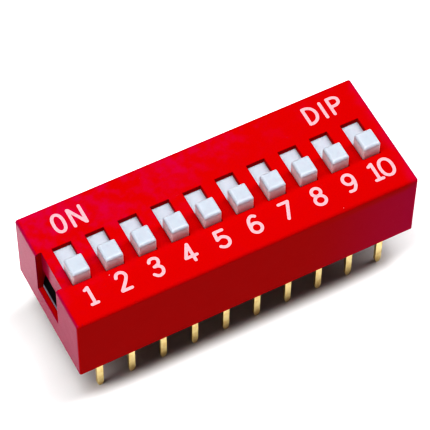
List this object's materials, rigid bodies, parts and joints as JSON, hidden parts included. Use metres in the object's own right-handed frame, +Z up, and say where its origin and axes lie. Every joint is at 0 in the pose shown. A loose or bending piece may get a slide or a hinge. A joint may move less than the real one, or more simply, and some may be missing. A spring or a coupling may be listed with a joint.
{
  "type": "dip switch",
  "caption": "Dual in-line package slide switch with a moulded cover, a row of small slide knobs that travel to an ON side, and two rows of flat solder pins.",
  "frame": {"origin": "middle of the pin pattern, on the plane where the housing sits on a board", "axes": "+X along the row from switch 1 to switch 10, +Y towards the ON side, +Z up out of the board"},
  "size_m": [0.0268, 0.01, 0.0122],
  "materials": {
    "cover_plastic": "semi-gloss moulded, white printed legend",
    "slider_plastic": "satin moulded",
    "base_plastic": "satin moulded",
    "seal_resin": "poured resin",
    "plated_metal": "gold plated, stamped"
  },
  "bodies": {
    "housing": {"cover": "cover_plastic", "base": "base_plastic", "bottom_seal": "seal_resin", "off_side_terminal_1": "plated_metal", "off_side_terminal_2": "plated_metal", "off_side_terminal_3": "plated_metal", "off_side_terminal_4": "plated_metal", "off_side_terminal_5": "plated_metal", "off_side_terminal_6": "plated_metal", "off_side_terminal_7": "plated_metal", "off_side_terminal_8": "plated_metal", "off_side_terminal_9": "plated_metal", "off_side_terminal_10": "plated_metal", "on_side_terminal_1": "plated_metal", "on_side_terminal_2": "plated_metal", "on_side_terminal_3": "plated_metal", "on_side_terminal_4": "plated_metal", "on_side_terminal_5": "plated_metal", "on_side_terminal_6": "plated_metal", "on_side_terminal_7": "plated_metal", "on_side_terminal_8": "plated_metal", "on_side_terminal_9": "plated_metal", "on_side_terminal_10": "plated_metal"},
    "switch_1": {"slider_1": "slider_plastic", "bridge_contact_1": "plated_metal"},
    "switch_2": {"slider_2": "slider_plastic", "bridge_contact_2": "plated_metal"},
    "switch_3": {"slider_3": "slider_plastic", "bridge_contact_3": "plated_metal"},
    "switch_4": {"slider_4": "slider_plastic", "bridge_contact_4": "plated_metal"},
    "switch_5": {"slider_5": "slider_plastic", "bridge_contact_5": "plated_metal"},
    "switch_6": {"slider_6": "slider_plastic", "bridge_contact_6": "plated_metal"},
    "switch_7": {"slider_7": "slider_plastic", "bridge_contact_7": "plated_metal"},
    "switch_8": {"slider_8": "slider_plastic", "bridge_contact_8": "plated_metal"},
    "switch_9": {"slider_9": "slider_plastic", "bridge_contact_9": "plated_metal"},
    "switch_10": {"slider_10": "slider_plastic", "bridge_contact_10": "plated_metal"}
  },
  "joints": [
    {"name": "slide_1", "type": "slide", "parent": "housing", "child": "switch_1", "axis": [0, 1, 0], "range_m": [0, 0.0018]},
    {"name": "slide_2", "type": "slide", "parent": "housing", "child": "switch_2", "axis": [0, 1, 0], "range_m": [0, 0.0018]},
    {"name": "slide_3", "type": "slide", "parent": "housing", "child": "switch_3", "axis": [0, 1, 0], "range_m": [0, 0.0018]},
    {"name": "slide_4", "type": "slide", "parent": "housing", "child": "switch_4", "axis": [0, 1, 0], "range_m": [0, 0.0018]},
    {"name": "slide_5", "type": "slide", "parent": "housing", "child": "switch_5", "axis": [0, 1, 0], "range_m": [0, 0.0018]},
    {"name": "slide_6", "type": "slide", "parent": "housing", "child": "switch_6", "axis": [0, 1, 0], "range_m": [0, 0.0018]},
    {"name": "slide_7", "type": "slide", "parent": "housing", "child": "switch_7", "axis": [0, 1, 0], "range_m": [0, 0.0018]},
    {"name": "slide_8", "type": "slide", "parent": "housing", "child": "switch_8", "axis": [0, 1, 0], "range_m": [0, 0.0018]},
    {"name": "slide_9", "type": "slide", "parent": "housing", "child": "switch_9", "axis": [0, 1, 0], "range_m": [0, 0.0018]},
    {"name": "slide_10", "type": "slide", "parent": "housing", "child": "switch_10", "axis": [0, 1, 0], "range_m": [0, 0.0018]}
  ]
}
